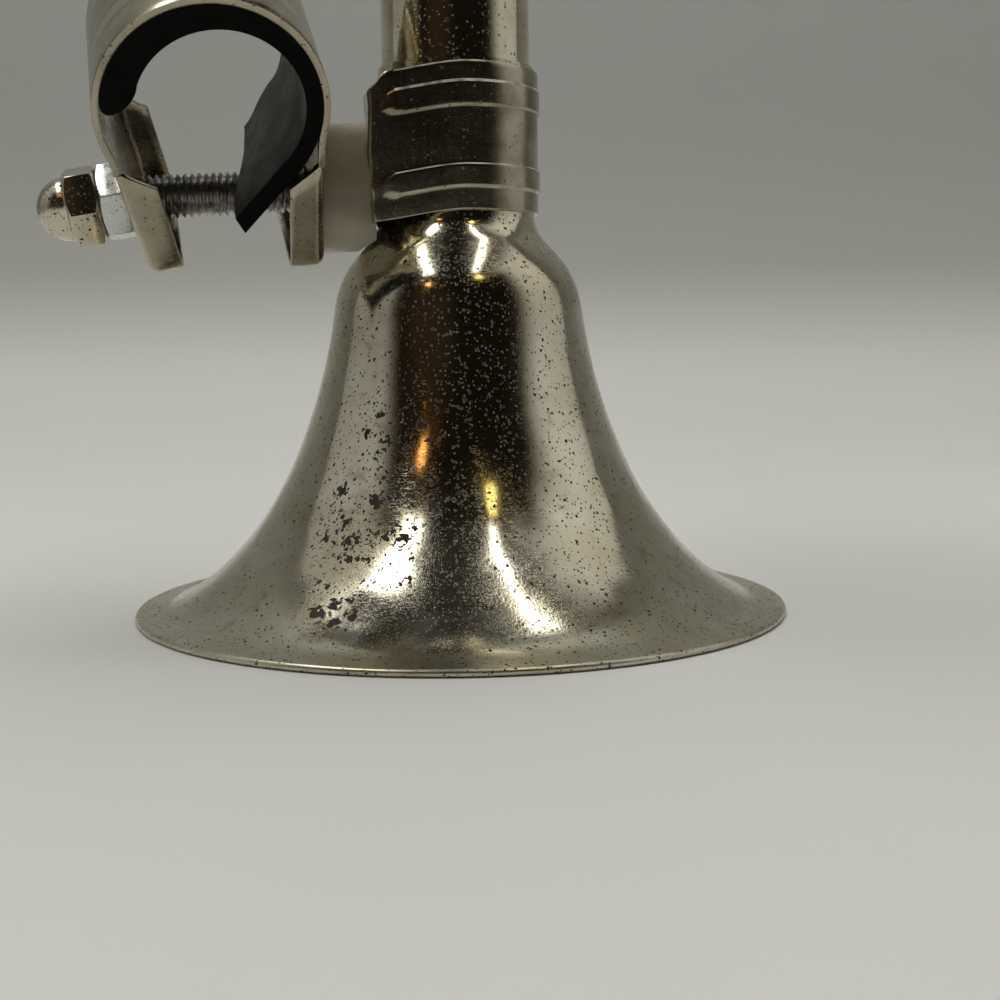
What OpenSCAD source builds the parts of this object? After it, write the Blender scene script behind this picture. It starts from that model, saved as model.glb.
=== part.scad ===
// Bicycle bulb horn with a handlebar clamp, standing mouth down on its rim.
// The origin is the centre of the mouth on the standing plane, +Z runs up the horn,
// and the clamp is on the -X side. All lengths are in millimetres, all angles in degrees.

/* [Bell] */
// Radius of the mouth over its hemmed edge
mouth_r = 39.2; // [38:0.1:40.5]
// Thickness of the bell's sheet
bell_wall = 0.42; // [0.35:0.01:0.5]
// Width of the rim outside the flare
rim_w = 3.6; // [2.8:0.1:4.4]
// Height of the rim where the flare meets it
rim_h = 1.3; // [1.1:0.05:1.6]
// Slope of the flare where it meets the rim
rim_slope = 22; // [16:1:26]
// Radius at the foot of the shoulder
shoulder_r = 14.9; // [14.2:0.1:15.6]
// Height of the foot of the shoulder
shoulder_z = 36; // [34.5:0.5:37]
// Slope of the wall at the foot of the shoulder
shoulder_slope = 8; // [5:1:11]
// Pull of the flare's upper end on its curve
flare_pull = 15.9; // [13:0.1:18]
// Pull of the flare's rim end on its curve
rim_pull = 11.6; // [9:0.1:14]
// Height at which the neck sleeve begins
neck_z = 46.9; // [46.2:0.1:48]
// Length of the neck sleeve
neck_len = 16.9; // [16.5:0.1:18]
// How far the neck's fillet stands out where it turns into the shoulder
fillet_out = 1.4; // [1.3:0.05:1.5]
// Height of the neck's fillet
fillet_h = 2.85; // [2.7:0.05:3]

/* [Sound tube] */
// Outer radius of the tube
tube_r = 8.75; // [8.5:0.05:9]
// Wall of the tube
tube_wall = 0.6; // [0.5:0.05:0.8]
// Height of the tube's lower end above the start of the neck
tube_start = 0.3; // [0.2:0.1:1]
// Height of the tube's upper end
tube_top = 112; // [108:1:120]
// Clearance between the tube and what slides over it
sleeve_fit = 0.05; // [0.03:0.01:0.1]

/* [Neck collar] */
// Height of the collar band
collar_h = 15.9; // [15:0.1:16.4]
// Thickness of the collar's strip
collar_wall = 0.45; // [0.35:0.05:0.6]
// Height of the collar's lower edge above the start of the neck
collar_lift = 0.4; // [0.2:0.1:0.5]
// Distance from the horn's axis to the pressed seat's face
seat_x = 10.4; // [10.35:0.05:11.5]
// Distance from the horn's axis at which the lobe's sides would meet
lobe_reach = 15; // [14.5:0.1:16]
// Height of an embossed bead
bead_w = 2.6; // [2:0.1:3.2]
// How far a bead stands proud of the collar
bead_rise = 0.17; // [0.1:0.01:0.3]
// Height of the lower bead's middle above the collar's lower edge
bead_low = 3.75; // [3:0.05:4.5]
// Height of the upper bead's middle above the collar's lower edge
bead_high = 12.95; // [12:0.05:13.5]
// Distance from the horn's axis at which the beads end on the lobe
bead_end = 8.3; // [6.5:0.1:8.6]

/* [Clamp screw] */
// Height at which the screw's axis meets the horn's axis
screw_z = 51.2; // [50.8:0.1:52]
// Droop of the screw's free end
droop = 3.5; // [2:0.1:4]
// Radius of the screw
screw_r = 2.5; // [2.4:0.05:2.6]
// Radius of the screw's thin head
head_r = 3.4; // [3.2:0.1:3.5]
// Thickness of the screw's head
head_t = 0.4; // [0.3:0.05:0.45]
// Gap between the head and the collar's inner face
head_gap = 0.03; // [0.01:0.01:0.04]
// Angle by which the squeezed ears have bent the screw
bend = 7.5; // [5:0.5:9.5]
// Radius of the screw's bend along its axis
bend_r = 6; // [4:0.5:8]
// How far the screw is swollen at its bend
bend_swell = 0.06; // [0.04:0.01:0.1]
// Length of the screw outside the outer ear
screw_end = 7.8; // [7:0.1:8.6]
// Radial clearance of the screw in the seat and the spacer
screw_fit = 0.1; // [0.05:0.01:0.2]

/* [Spacer] */
// Radius of the spacer
spacer_r = 7.4; // [7:0.1:7.6]
// Length of the spacer outside the collar's seat
spacer_len = 6.7; // [6:0.1:7.5]
// How far the spacer's saddle reaches back beside the seat
saddle = 1.2; // [0.6:0.1:1.6]
// Gap between the spacer and the bell's shoulder
spacer_gap = 0.4; // [0.3:0.05:0.6]

/* [Clamp strap] */
// Radius of the handlebar that the clamp holds
bar_r = 8.8; // [8.5:0.1:9.5]
// Thickness of the rubber liner at its top
liner_t = 2.6; // [2.2:0.1:3]
// How far the squeezed liner has moved its bore towards the horn
bore_shift = 0.8; // [0:0.1:1.2]
// Width of the strap and the liner
strap_w = 20; // [18:0.5:22]
// Thickness of the strap
strap_t = 0.75; // [0.65:0.05:0.95]
// Gap between the spacer and the ear beside it
swivel_gap = 0.1; // [0.05:0.05:0.3]
// How far the ring stands out past the ear beside the spacer
ring_bulge = 0.6; // [0.4:0.1:1.2]
// How far the outer ear's foot stands in from the ring's widest point
ear_tuck = 3.3; // [2.9:0.05:3.6]
// Lean of the outer ear, pulled inwards at its foot
ear_lean = 12; // [10:0.5:13]
// Height of the ring's lowest inner point above the screw's axis
ring_lift = 3.6; // [3.4:0.1:4.4]
// Swivel of the clamp about the screw, from upright
swivel = 35; // [0:1:60]
// Depth of the flanges folded round each ear
flange_d = 3.9; // [3:0.1:4.5]
// Outer radius of the flange's fold
fold_r = 1.4; // [1.2:0.1:1.7]
// Radius of an ear's two lower corners
ear_corner = 1.9; // [1.8:0.1:3]
// Depth of an ear's lower edge below the screw's axis
ear_drop = 4.9; // [4.6:0.05:5.1]
// Height of the flanges at the fold, above the screw's axis
flange_top = 8.2; // [7.6:0.1:8.3]
// Height of the flanges at their free edge, above the screw's axis
flange_low = 5.7; // [5:0.1:6.5]
// Radius of the screw holes in the ears
ear_hole_r = 2.8; // [2.75:0.05:3.2]

/* [Clamp liner] */
// Gap between the liner and the strap
liner_fit = 0.05; // [0.02:0.01:0.1]
// Angle at which the liner starts, beside the outer ear
liner_start = 175; // [165:1:185]
// Angle below the level at which the liner leaves the ring
liner_leave = 41.5; // [36:0.5:46]
// Length of the liner's tail
tail_len = 8.3; // [6:0.1:9]
// How far the tail's end is cut back on its inner side
tail_skew = 0.75; // [0:0.05:1.2]
// Angle by which the tail springs outwards
tail_spring = 1.5; // [1:0.5:4]
// Gap between the tail's notch and the screw
notch_gap = 0.3; // [0.2:0.05:0.5]

/* [Nuts] */
// Width of both nuts across their flats
nut_af = 8; // [7.8:0.1:8.6]
// Share of that width over which the nuts' ends are flat
nut_face = 0.98; // [0.92:0.01:0.98]
// Gap between the hex nut and the ear
nut_gap = 0.03; // [0.01:0.01:0.1]
// Thickness of the hex nut
nut_h = 3.2; // [2.7:0.1:3.6]
// Thickness of the dome nut's hexagon
dome_hex_h = 3.6; // [3:0.1:4]
// Overall length of the dome nut
dome_h = 7.2; // [7.1:0.1:7.8]
// Radius of the dome
dome_r = 3.6; // [3.4:0.1:3.8]
// Height of the dome's straight foot
dome_wall = 0.7; // [0.5:0.1:1]
// Depth of the dome nut's blind bore
dome_bore_h = 6; // [5.8:0.1:6.2]
// Turn of the hex nut about the screw
nut_turn = -8; // [-30:1:30]
// Turn of the dome nut about the screw
dome_turn = 12; // [-30:1:30]
// Clearance between the screw and the nuts
thread_fit = 0.05; // [0.03:0.01:0.1]

/* [Reed] */
// Length of the reed block inside the tube
block_h = 11; // [9:0.5:14]
// Height at which the tongue bends free, above the block
reed_rise = 0.4; // [0.2:0.1:1]
// Thickness of the block's flange on the tube's end
block_flange = 1.2; // [0.8:0.1:1.6]
// Radius of the block's bore
block_bore_r = 4; // [3.8:0.1:4.6]
// Clearance between the brass pieces that are pressed together
press_fit = 0.03; // [0.02:0.01:0.05]
// Outer radius of the shallot
shallot_r = 3; // [2.8:0.05:3.1]
// Wall of the shallot
shallot_wall = 0.6; // [0.5:0.05:0.7]
// Thickness of the shallot's closed end
shallot_cap = 1.5; // [1:0.1:2]
// Length of the shallot above the block's flange
shallot_up = 18.8; // [17:0.1:24]
// Length of the shallot inside the block
shallot_down = 10; // [8:0.5:10.5]
// Distance from the shallot's axis to its flat
shallot_flat = 1; // [0.7:0.05:1.2]
// Angle by which the flat leans away from the tongue
reed_gap = 2; // [1.5:0.1:3]
// Width of the tongue
tongue_w = 5.2; // [4.9:0.1:5.4]
// Thickness of the tongue
tongue_t = 0.3; // [0.2:0.02:0.4]
// Length of the tongue that beats
tongue_up = 17.5; // [15:0.5:18]
// Length of the tongue behind the wedge
tongue_tail = 5; // [4:0.5:5.5]
// Clearance on each side of the tongue's tail
tongue_fit = 0.22; // [0.2:0.01:0.25]
// Length of the wedge
wedge_h = 8; // [6:0.5:9]

/* [Bulb] */
// Largest radius of the bulb
bulb_r = 27.5; // [25:0.5:30]
// Height of the bulb's widest point above the tube's end
bulb_mid = 34; // [30:1:38]
// Height of the bulb's top above the tube's end
bulb_height = 64; // [60:1:70]
// Wall of the bulb
bulb_wall = 2.5; // [2:0.1:3]
// Length of the bulb's neck on the tube
bulb_grip = 16; // [12:0.5:20]
// Thickness of the bulb's neck
bulb_neck_wall = 2.4; // [2:0.1:3]
// Width of the bead at the mouth of the bulb's neck
bulb_bead = 3; // [2:0.5:4]
// Height of that bead over the neck
bulb_bead_rise = 0.9; // [0.7:0.1:1.2]
// Bevel of the bead's edges
bulb_bevel = 0.6; // [0.3:0.1:0.7]
// Gap between the reed block and the bulb's inner shoulder
bulb_gap = 0.3; // [0.2:0.1:1]

/* [Hidden] */

// Fineness of the true circles
ROUND = 96;
// Segments of the bell's three curves, from the neck down, and of a small rounded edge
NECK_STEPS = 5;
SHOULDER_STEPS = 9;
FLARE_STEPS = 14;
EDGE_STEPS = 6;
// Segments of each half of the bulb
BULB_STEPS = 9;
// Share of its true radius at which a straight side meets a round, so that they cross instead of touching
CROSS = 0.998;
// Small length by which a cut runs past the solid that it cuts
CUT = 1;
// Length by which two parts of one solid run into each other
JOIN = 0.3;
// Lengths by which the bell's curves are pulled at the fillet, below it and at the shoulder's foot
FILLET_PULL = 0.85;
SHOULDER_PULL = 4.5;
FOOT_PULL = 2.7;
// Air inside the hem, and the distance from the rim's crease to the hem's cut edge
HEM_AIR = 0.02;
HEM_EDGE = 0.3;
// Shares of each height or radius by which the bulb's curves are pulled, outside and inside
BULB_PULL = [0.2, 0.6, 0.56];
BULB_INNER_PULL = [0.24, 0.55, 0.56];

NICKEL = [0.72, 0.69, 0.62];
SATIN = [0.58, 0.55, 0.49];
ZINC = [0.8, 0.81, 0.82];
STEEL = [0.35, 0.34, 0.33];
NYLON = [0.88, 0.86, 0.8];
BLACK = [0.06, 0.06, 0.06];
BRASS = [0.78, 0.6, 0.3];

// Cubic curve through p[0] and p[3], pulled towards p[1] and p[2]
function curve_at(p, t) = let (u = 1 - t)
    u * u * u * p[0] + 3 * u * u * t * p[1] + 3 * u * t * t * p[2] + t * t * t * p[3];
function curve_way(p, t) = let (u = 1 - t, d = u * u * (p[1] - p[0]) + 2 * u * t * (p[2] - p[1])
    + t * t * (p[3] - p[2])) d / norm(d);
// The curve's points after the first, moved by off to the left of its way
function curve(p, steps, off = 0, first = 1) = [for (i = [first:steps]) let (w = curve_way(p, i / steps))
    curve_at(p, i / steps) + off * [w[1], -w[0]]];
function reversed(list) = [for (i = [len(list) - 1:-1:0]) list[i]];
function polar(r, a) = r * [cos(a), sin(a)];
// Points of an arc about c, from angle a to angle b
function arc(c, r, a, b) = [for (i = [0:EDGE_STEPS]) c + polar(r, a + (b - a) * i / EDGE_STEPS)];

// Bell: outer curve from the neck down
neck_r = tube_r + sleeve_fit + bell_wall;
neck_top = neck_z + neck_len;
hem_t = 2 * bell_wall + HEM_AIR;
rim_r = mouth_r - rim_w;
// The neck's fillet turns into the shoulder at 45 degrees
turn = [neck_r + fillet_out, neck_z - fillet_h];
diagonal = [sin(45), -cos(45)];
fillet_curve = [[neck_r, neck_z], [neck_r, neck_z - FILLET_PULL], turn - FILLET_PULL * diagonal, turn];
foot = [shoulder_r, shoulder_z];
foot_way = [sin(shoulder_slope), -cos(shoulder_slope)];
shoulder_curve = [turn, turn + SHOULDER_PULL * diagonal, foot - FOOT_PULL * foot_way, foot];
rim_start = [rim_r, rim_h];
flare_curve = [foot, foot + flare_pull * foot_way,
               rim_start + rim_pull * [-cos(rim_slope), sin(rim_slope)], rim_start];

// Collar
collar_z = neck_z + collar_lift;
collar_in = neck_r + sleeve_fit;
collar_out = collar_in + collar_wall;

// Clamp: places along the screw, as distances from the horn's axis
head_x = seat_x - collar_wall - head_gap;
spacer_end = seat_x + spacer_len;
inner_ear_x = spacer_end + swivel_gap;
liner_r = bar_r + liner_t;
ring_in = liner_r + liner_fit;
ring_out = ring_in + strap_t;
ring_x = inner_ear_x + ring_out - ring_bulge;
ring_z = ring_in + ring_lift;
outer_ear_x = ring_x + ring_out - ear_tuck;
bend_x = outer_ear_x - strap_t / 2;
// The hex nut bears with its upper edge on the outer ear, which leans more than the screw bends
nut_face_r = nut_face * nut_af / 2;
nut_seat = strap_t / 2 + nut_face_r * (tan(ear_lean) - tan(bend)) + nut_gap;
// Each leg runs up until its outer face meets the ring
inner_leg_top = ring_z - sqrt(pow(ring_out, 2) - pow(ring_out - ring_bulge, 2));
inner_leg_angle = -acos((ring_out - ring_bulge) / ring_out);
outer_foot = [ring_x - outer_ear_x, -ring_z];
outer_way = [-sin(ear_lean), cos(ear_lean)];
outer_leg_top = -(outer_foot * outer_way)
    - sqrt(pow(outer_foot * outer_way, 2) - outer_foot * outer_foot + pow(ring_out, 2));
outer_leg_end = outer_foot + outer_leg_top * outer_way;
outer_leg_angle = 180 + atan(outer_leg_end[1] / outer_leg_end[0]);

// Reed
block_r = tube_r - tube_wall - press_fit;
shallot_y = block_bore_r - shallot_r - press_fit;
flat_y = shallot_y - shallot_flat;
tongue_y = flat_y - tongue_fit;
wedge_y = tongue_y - tongue_t - tongue_fit;
block_top = tube_top + block_flange;
pivot_z = block_top + reed_rise;

// Frames of the clamp
module at_screw() { translate([0, 0, screw_z]) rotate([0, -droop, 0]) children(); }
module swivelled() { at_screw() rotate([swivel, 0, 0]) children(); }
module at_bend() { translate([-bend_x, 0, 0]) rotate([0, -bend, 0]) children(); }
module at_outer_ear() { translate([-outer_ear_x, 0, 0]) rotate([0, -ear_lean, 0]) children(); }
// Stands a solid that rises along +Z on the screw, pointing away from the horn
module outwards(x = 0) { translate([-x, 0, 0]) rotate([0, -90, 0]) children(); }
// Extrudes a drawing of X and Z evenly to both sides of the XZ plane
module across(w) { rotate([90, 0, 0]) linear_extrude(w, center = true) children(); }

module bell() {
    edge = [mouth_r - hem_t / 2, hem_t / 2];
    hem_in = rim_r + HEM_EDGE;
    rim_fall = (rim_h - hem_t) / (edge[0] - rim_r);
    outside = concat([[neck_r, neck_top], [neck_r, neck_z]], curve(fillet_curve, NECK_STEPS),
        curve(shoulder_curve, SHOULDER_STEPS), curve(flare_curve, FLARE_STEPS));
    hem = concat(arc(edge, hem_t / 2, 90, -90),
        [[hem_in, 0], [hem_in, rim_h - HEM_EDGE * rim_fall - bell_wall]]);
    inside = concat([[neck_r - bell_wall, neck_top], [neck_r - bell_wall, neck_z]],
        curve(fillet_curve, NECK_STEPS, bell_wall), curve(shoulder_curve, SHOULDER_STEPS, bell_wall),
        curve(flare_curve, FLARE_STEPS, bell_wall));
    color(NICKEL) rotate_extrude($fn = ROUND) polygon(concat(outside, hem, reversed(inside)));
}

module sound_tube() {
    tube_z = neck_z + tube_start;
    color(NICKEL) translate([0, 0, tube_z]) difference() {
        cylinder(h = tube_top - tube_z, r = tube_r, $fn = ROUND);
        translate([0, 0, -CUT])
            cylinder(h = tube_top - tube_z + 2 * CUT, r = tube_r - tube_wall, $fn = ROUND);
    }
}

// Outline of the collar: a round with two straight sides that run to a point on the clamp's side
module lobe(r) {
    reach = lobe_reach * r / collar_out;
    touch = acos(r / reach);
    side = CROSS * polar(r, 180 - touch);
    circle(r, $fn = ROUND);
    polygon([[-reach, 0], side, [side[0], -side[1]]]);
}

// Everything on the horn's side of a plane square to the screw
module behind_seat(x) {
    size = 2 * lobe_reach;
    at_screw() translate([-x, -size / 2, -size / 2]) cube([x + size, size, size]);
}

// Region in which a bead is embossed, with round ends on the lobe
module bead_region() {
    across(4 * collar_out) {
        translate([-bead_end, 0]) square([bead_end + 2 * collar_out, bead_w]);
        translate([-bead_end, bead_w / 2]) circle(CROSS * bead_w / 2, $fn = ROUND);
    }
}

module collar_lobe(r, x, below = 0) {
    intersection() {
        translate([0, 0, collar_z - below]) linear_extrude(collar_h + 2 * below) lobe(r);
        behind_seat(x);
    }
}

module neck_collar() {
    color(SATIN) difference() {
        union() {
            collar_lobe(collar_out, seat_x);
            for (middle = [bead_low, bead_high]) intersection() {
                translate([0, 0, collar_z + middle - bead_w / 2])
                    linear_extrude(bead_w) lobe(collar_out + bead_rise);
                translate([0, 0, collar_z + middle - bead_w / 2]) bead_region();
            }
        }
        collar_lobe(collar_in, seat_x - collar_wall, CUT);
        at_screw() outwards(seat_x - collar_wall - CUT)
            cylinder(h = collar_wall + 2 * CUT, r = screw_r + screw_fit, $fn = ROUND);
    }
}

module spacer() {
    relief = concat([[0, shoulder_z - CUT], [0, neck_z]],
        [[neck_r + spacer_gap, neck_z]], curve(fillet_curve, NECK_STEPS, -spacer_gap),
        curve(shoulder_curve, SHOULDER_STEPS, -spacer_gap), [[shoulder_r + spacer_gap, shoulder_z - CUT]]);
    color(NYLON) difference() {
        at_screw() outwards(seat_x - saddle) difference() {
            cylinder(h = spacer_len + saddle, r = spacer_r, $fn = ROUND);
            translate([0, 0, -CUT])
                cylinder(h = spacer_len + saddle + 2 * CUT, r = screw_r + screw_fit, $fn = ROUND);
        }
        collar_lobe(collar_out + bead_rise + sleeve_fit, seat_x, CUT);
        rotate_extrude($fn = ROUND) polygon(relief);
    }
}

module clamp_screw() {
    start = head_x - head_t / 2;
    half_bend = bend_r * tan(bend / 2);
    color(STEEL) swivelled() {
        outwards(head_x - head_t) cylinder(h = head_t, r = head_r, $fn = ROUND);
        outwards(start) cylinder(h = bend_x - half_bend + JOIN - start, r = screw_r, $fn = ROUND);
        translate([half_bend - bend_x, 0, -bend_r]) rotate([90, 0, 0]) rotate(90)
            rotate_extrude(angle = bend, $fn = ROUND)
                translate([bend_r, 0]) circle(screw_r + bend_swell);
        at_bend() outwards(half_bend - JOIN)
            cylinder(h = screw_end - half_bend + JOIN, r = screw_r, $fn = ROUND);
    }
}

// Section through an ear's fold: w runs from the corner's centre to the flange's outer face
module fold_section(w) {
    middle = [w - fold_r, fold_r];
    polygon(concat([[0, 0]], arc(middle, fold_r, -90, 0), [[w, flange_d], [w - strap_t, flange_d]],
        arc(middle, fold_r - strap_t, 0, -90), [[0, strap_t]]));
}

// Tray-shaped ear with its outer face on X = 0, its flanges towards +X and the screw's axis at Z = 0
module ear() {
    half = strap_w / 2 - ear_corner;
    low = ear_drop - ear_corner;
    top = flange_top + JOIN;
    rotate([0, 90, 0]) difference() {
        union() {
            translate([-top, -half, 0]) cube([top + low, 2 * half, strap_t]);
            for (side = [1, -1]) scale([1, side, 1]) translate([low, half, 0]) {
                rotate_extrude(angle = 90, $fn = ROUND) fold_section(ear_corner);
                rotate([0, -90, 0]) linear_extrude(top + low) rotate(90) mirror([0, 1])
                    fold_section(ear_corner);
            }
            translate([low, half, 0]) rotate([90, 0, 0]) linear_extrude(2 * half) fold_section(ear_corner);
        }
        across(strap_w + CUT) polygon([[-top - CUT, strap_t], [-flange_top, strap_t],
            [-flange_low, flange_d], [-flange_low, flange_d + CUT], [-top - CUT, flange_d + CUT]]);
        translate([0, 0, -CUT]) cylinder(h = strap_t + 2 * CUT, r = ear_hole_r, $fn = ROUND);
    }
}

// Wedge from the ring's centre that keeps the ring's arc from angle a to angle b, over the top
module slice(a, b) {
    far = 3 * ring_out;
    polygon(concat([[0, 0]], [for (i = [0:3]) polar(far, a + (b - a) * i / 3)]));
}

module clamp_strap() {
    color(SATIN) swivelled() {
        across(strap_w) difference() {
            union() {
                translate([-ring_x, ring_z]) intersection() {
                    circle(ring_out, $fn = ROUND);
                    slice(inner_leg_angle, outer_leg_angle);
                }
                translate([-inner_ear_x - strap_t, flange_top])
                    square([strap_t, inner_leg_top + JOIN - flange_top]);
                translate([-outer_ear_x, 0]) rotate(ear_lean) translate([0, flange_top])
                    square([strap_t, outer_leg_top + JOIN - flange_top]);
            }
            translate([-ring_x, ring_z]) circle(ring_in, $fn = ROUND);
        }
        translate([-inner_ear_x, 0, 0]) mirror([1, 0, 0]) ear();
        at_outer_ear() ear();
    }
}

module clamp_liner() {
    way = polar(1, 270 - liner_leave + tail_spring);
    bore = [bore_shift, 0];
    inner = (bore * polar(1, -liner_leave) + sqrt(pow(bar_r, 2) - pow(bore_shift * sin(liner_leave), 2)))
        * polar(1, -liner_leave);
    outer = polar(liner_r, -liner_leave);
    color(BLACK) swivelled() difference() {
        translate([-ring_x, 0, ring_z]) across(strap_w) difference() {
            union() {
                intersection() {
                    circle(liner_r, $fn = ROUND);
                    slice(-liner_leave, liner_start);
                }
                polygon([inner - JOIN * way, inner + tail_len * way,
                    outer + (tail_len + tail_skew) * way, outer - JOIN * way]);
            }
            translate(bore) circle(bar_r, $fn = ROUND);
        }
        outwards(spacer_end) cylinder(h = bend_x - spacer_end, r = screw_r + notch_gap, $fn = ROUND);
    }
}

// Hexagonal prism with both ends chamfered round
module hexagon(h) {
    across_corners = nut_af / cos(30);
    corner_r = across_corners / 2;
    chamfer = (corner_r - nut_af / 2) * tan(30);
    rise = (corner_r - nut_face_r + chamfer) * tan(30);
    intersection() {
        cylinder(h = h, r = corner_r, $fn = 6);
        rotate_extrude($fn = ROUND) polygon([[0, 0], [nut_face_r, 0], [corner_r + chamfer, rise],
            [corner_r + chamfer, h - rise], [nut_face_r, h], [0, h]]);
    }
}

module hex_nut() {
    color(ZINC) swivelled() at_bend() rotate([nut_turn, 0, 0]) outwards(nut_seat) difference() {
        hexagon(nut_h);
        translate([0, 0, -CUT]) cylinder(h = nut_h + 2 * CUT, r = screw_r + thread_fit, $fn = ROUND);
    }
}

module dome_nut() {
    color(NICKEL) swivelled() at_bend() rotate([dome_turn, 0, 0]) outwards(nut_seat + nut_h) difference() {
        union() {
            hexagon(dome_hex_h);
            // The dome is a ball's cap with a short straight foot
            translate([0, 0, dome_hex_h - JOIN]) cylinder(h = JOIN + dome_wall, r = dome_r, $fn = ROUND);
            intersection() {
                translate([0, 0, dome_h - dome_r]) sphere(dome_r, $fn = ROUND);
                translate([-dome_r, -dome_r, dome_hex_h]) cube(2 * dome_r);
            }
        }
        translate([0, 0, -CUT]) cylinder(h = dome_bore_h + CUT, r = screw_r + thread_fit, $fn = ROUND);
    }
}

module reed_block() {
    color(BRASS) translate([0, 0, tube_top - block_h]) difference() {
        union() {
            cylinder(h = block_h + block_flange / 2, r = block_r, $fn = ROUND);
            translate([0, 0, block_h]) cylinder(h = block_flange, r = tube_r, $fn = ROUND);
        }
        translate([0, 0, -CUT])
            cylinder(h = block_h + block_flange + 2 * CUT, r = block_bore_r, $fn = ROUND);
    }
}

// Half tube whose flat face leans back from the tongue above the wedge
module reed_shallot() {
    low = block_top - shallot_down;
    high = block_top + shallot_up;
    wide = 4 * shallot_r;
    color(BRASS) difference() {
        translate([0, shallot_y, low]) cylinder(h = high - low, r = shallot_r, $fn = ROUND);
        translate([0, shallot_y, low - CUT])
            cylinder(h = high - low + CUT - shallot_cap, r = shallot_r - shallot_wall, $fn = ROUND);
        translate([-wide / 2, flat_y - wide, low - CUT]) cube([wide, wide, high - low + 2 * CUT]);
        translate([0, flat_y, pivot_z]) rotate([-reed_gap, 0, 0]) translate([-wide / 2, -wide, 0])
            cube([wide, wide, high - low]);
    }
}

module reed_tongue() {
    color(BRASS) translate([-tongue_w / 2, tongue_y - tongue_t, pivot_z - tongue_tail])
        cube([tongue_w, tongue_t, tongue_tail + tongue_up]);
}

module reed_wedge() {
    color(BRASS) translate([0, 0, pivot_z - wedge_h]) intersection() {
        cylinder(h = wedge_h, r = block_bore_r - press_fit, $fn = ROUND);
        translate([-block_bore_r, wedge_y - block_bore_r, -CUT])
            cube([2 * block_bore_r, block_bore_r, wedge_h + 2 * CUT]);
    }
}

module bulb() {
    grip_r = tube_r + sleeve_fit;
    neck_out = grip_r + bulb_neck_wall;
    mid = tube_top + bulb_mid;
    top = tube_top + bulb_height;
    start = block_top + bulb_gap;
    low = tube_top - bulb_grip;
    lip = neck_out + bulb_bead_rise;
    inner_r = bulb_r - bulb_wall;
    skirt = [[neck_out, start], [neck_out, start + BULB_PULL[0] * bulb_mid],
             [bulb_r, mid - BULB_PULL[1] * bulb_mid], [bulb_r, mid]];
    crown = [[bulb_r, mid], [bulb_r, mid + BULB_PULL[2] * (top - mid)],
             [BULB_PULL[2] * bulb_r, top], [0, top]];
    inner_skirt = [[grip_r, start], [grip_r, start + BULB_INNER_PULL[0] * bulb_mid],
                   [inner_r, mid - BULB_INNER_PULL[1] * bulb_mid], [inner_r, mid]];
    inner_top = top - bulb_wall;
    inner_crown = [[inner_r, mid], [inner_r, mid + BULB_INNER_PULL[2] * (inner_top - mid)],
                   [BULB_INNER_PULL[2] * inner_r, inner_top], [0, inner_top]];
    outside = concat([[grip_r, low], [lip - bulb_bevel, low], [lip, low + bulb_bevel],
        [lip, low + bulb_bead - bulb_bevel], [neck_out, low + bulb_bead]], [skirt[0]], curve(skirt, BULB_STEPS), curve(crown, BULB_STEPS));
    inside = concat([inner_skirt[0]], curve(inner_skirt, BULB_STEPS),
        curve(inner_crown, BULB_STEPS));
    color(BLACK) rotate_extrude($fn = ROUND) polygon(concat(outside, reversed(inside)));
}

bell();
sound_tube();
neck_collar();
spacer();
clamp_screw();
clamp_strap();
clamp_liner();
hex_nut();
dome_nut();
reed_block();
reed_shallot();
reed_tongue();
reed_wedge();
bulb();
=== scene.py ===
"""Bicycle bulb horn with a handlebar clamp: the looks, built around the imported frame.

Sizes are in millimetres until a mesh is made, and angles in degrees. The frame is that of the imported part:
the mouth's centre on the floor is the origin, +Z runs up the horn, the clamp is on the -X side.
"""
import math

import bmesh
import bpy
from mathutils import Matrix, Vector, noise


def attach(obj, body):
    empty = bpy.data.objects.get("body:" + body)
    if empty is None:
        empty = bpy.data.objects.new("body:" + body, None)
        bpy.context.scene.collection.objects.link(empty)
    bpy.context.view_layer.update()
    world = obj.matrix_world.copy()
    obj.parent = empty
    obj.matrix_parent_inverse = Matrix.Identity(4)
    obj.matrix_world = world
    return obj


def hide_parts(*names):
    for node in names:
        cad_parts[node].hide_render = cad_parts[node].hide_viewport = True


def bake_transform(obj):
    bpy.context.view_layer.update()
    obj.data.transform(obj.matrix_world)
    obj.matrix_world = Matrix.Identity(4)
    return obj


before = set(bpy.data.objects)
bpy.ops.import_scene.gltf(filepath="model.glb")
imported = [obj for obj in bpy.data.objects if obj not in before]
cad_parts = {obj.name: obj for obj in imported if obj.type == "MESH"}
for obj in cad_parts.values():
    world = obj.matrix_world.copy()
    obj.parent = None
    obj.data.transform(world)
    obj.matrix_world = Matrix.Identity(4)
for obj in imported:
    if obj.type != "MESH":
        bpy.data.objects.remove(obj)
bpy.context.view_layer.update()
MM = 0.001

# Bell
MOUTH_R = 39.2
SHEET = 0.42
RIM_W = 3.6
RIM_H = 1.3
RIM_SLOPE = 22
RIM_EASE = 1.1
RIM_DENT = 20
HEM_R = SHEET + 0.03
SHOULDER_R = 14.9
SHOULDER_Z = 36
SHOULDER_SLOPE = 8
NECK_R = 9.22
NECK_Z = 46.9
NECK_TOP = 64.3
# Where the neck turns outwards into the shoulder: out from the neck and below it
NECK_TURN = (1.4, 2.85)
# Tube
TUBE_R = 8.75
TUBE_WALL = 0.6
TUBE_LOW = 47.2
TUBE_TOP = 112.0
TUBE_EVEN = 66
# Collar
COLLAR_R = 9.72
COLLAR_WALL = 0.45
COLLAR_Z = 47.3
COLLAR_H = 15.9
SEAT_X = 10.4
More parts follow.
